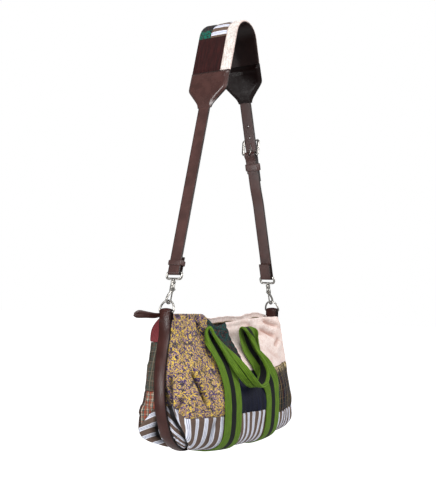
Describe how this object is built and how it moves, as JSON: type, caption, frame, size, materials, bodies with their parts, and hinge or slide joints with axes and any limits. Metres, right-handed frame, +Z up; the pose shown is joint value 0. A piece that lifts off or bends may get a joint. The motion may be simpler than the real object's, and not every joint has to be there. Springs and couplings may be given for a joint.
{
  "type": "tote bag",
  "caption": "Soft patchwork tote bag with an open zip mouth, webbing grab handles and a leather shoulder strap held by snap hooks on D-rings.",
  "frame": {"origin": "underside of the shoulder pad at its top, where the bag hangs", "axes": "+Z up, +X along the bag toward the buckle side, -Y the bag's front"},
  "size_m": [0.4328, 0.2028, 0.8176],
  "materials": {
    "leather": "smooth dark brown leather with a soft sheen",
    "lining": "near-black leather",
    "nickel": "polished nickel",
    "stripe": "brown and white striped cotton",
    "brocade": "yellow and purple brocade",
    "teal": "dark teal and brown figured cloth",
    "cream": "cream satin",
    "navy": "navy satin",
    "plaid": "dark brown plaid",
    "burgundy": "burgundy velvet",
    "green_plaid": "grey-green plaid",
    "tartan": "orange and red tartan",
    "zip_tape": "dark zip tape",
    "webbing": "green and black cotton webbing"
  },
  "bodies": {
    "bag": {"end_tab_left": "leather", "end_tab_right": "leather", "strap_left": "leather", "strap_right_upper": "leather", "strap_right_lower": "leather", "keeper_left": "leather", "keeper_right": "leather", "side_strip_left": "leather", "side_strip_right": "leather", "zip_tab": "leather", "pad_lining": "lining", "buckle_frame": "nickel", "buckle_prong": "nickel", "eye_left": "nickel", "eye_right": "nickel", "d_ring_left": "nickel", "d_ring_right": "nickel", "pad_stripe": "stripe", "base_stripe": "stripe", "front_brocade": "brocade", "back_brocade": "brocade", "pad_teal": "teal", "front_teal": "teal", "pad_cream_band": "cream", "front_cream": "cream", "back_cream": "cream", "front_navy": "navy", "front_plaid": "plaid", "pad_burgundy_left": "burgundy", "pad_burgundy_right": "burgundy", "back_burgundy": "burgundy", "back_green_plaid": "green_plaid", "back_tartan": "tartan", "zip_tape_front": "zip_tape", "zip_tape_back": "zip_tape", "handle_front": "webbing", "handle_back": "webbing"},
    "hook_left": {"hook_left": "nickel"},
    "bolt_left": {"bolt_left": "nickel"},
    "hook_right": {"hook_right": "nickel"},
    "bolt_right": {"bolt_right": "nickel"}
  },
  "joints": [
    {"name": "hook_left_swivel", "type": "hinge", "parent": "bag", "child": "hook_left", "pos_m": [-0.16556, 0, -0.55757], "axis": [0.2455, 0, 0.9694], "range_deg": [-30, 30]},
    {"name": "bolt_left_slide", "type": "slide", "parent": "hook_left", "child": "bolt_left", "axis": [0.2455, 0, 0.9694], "range_m": [0, 0.0065], "stiffness_N_per_m": 300, "springref_m": -0.004},
    {"name": "hook_right_swivel", "type": "hinge", "parent": "bag", "child": "hook_right", "pos_m": [0.18559, 0, -0.55769], "axis": [-0.2792, 0, 0.9602], "range_deg": [-30, 30]},
    {"name": "bolt_right_slide", "type": "slide", "parent": "hook_right", "child": "bolt_right", "axis": [-0.2792, 0, 0.9602], "range_m": [0, 0.0065], "stiffness_N_per_m": 300, "springref_m": -0.004}
  ]
}
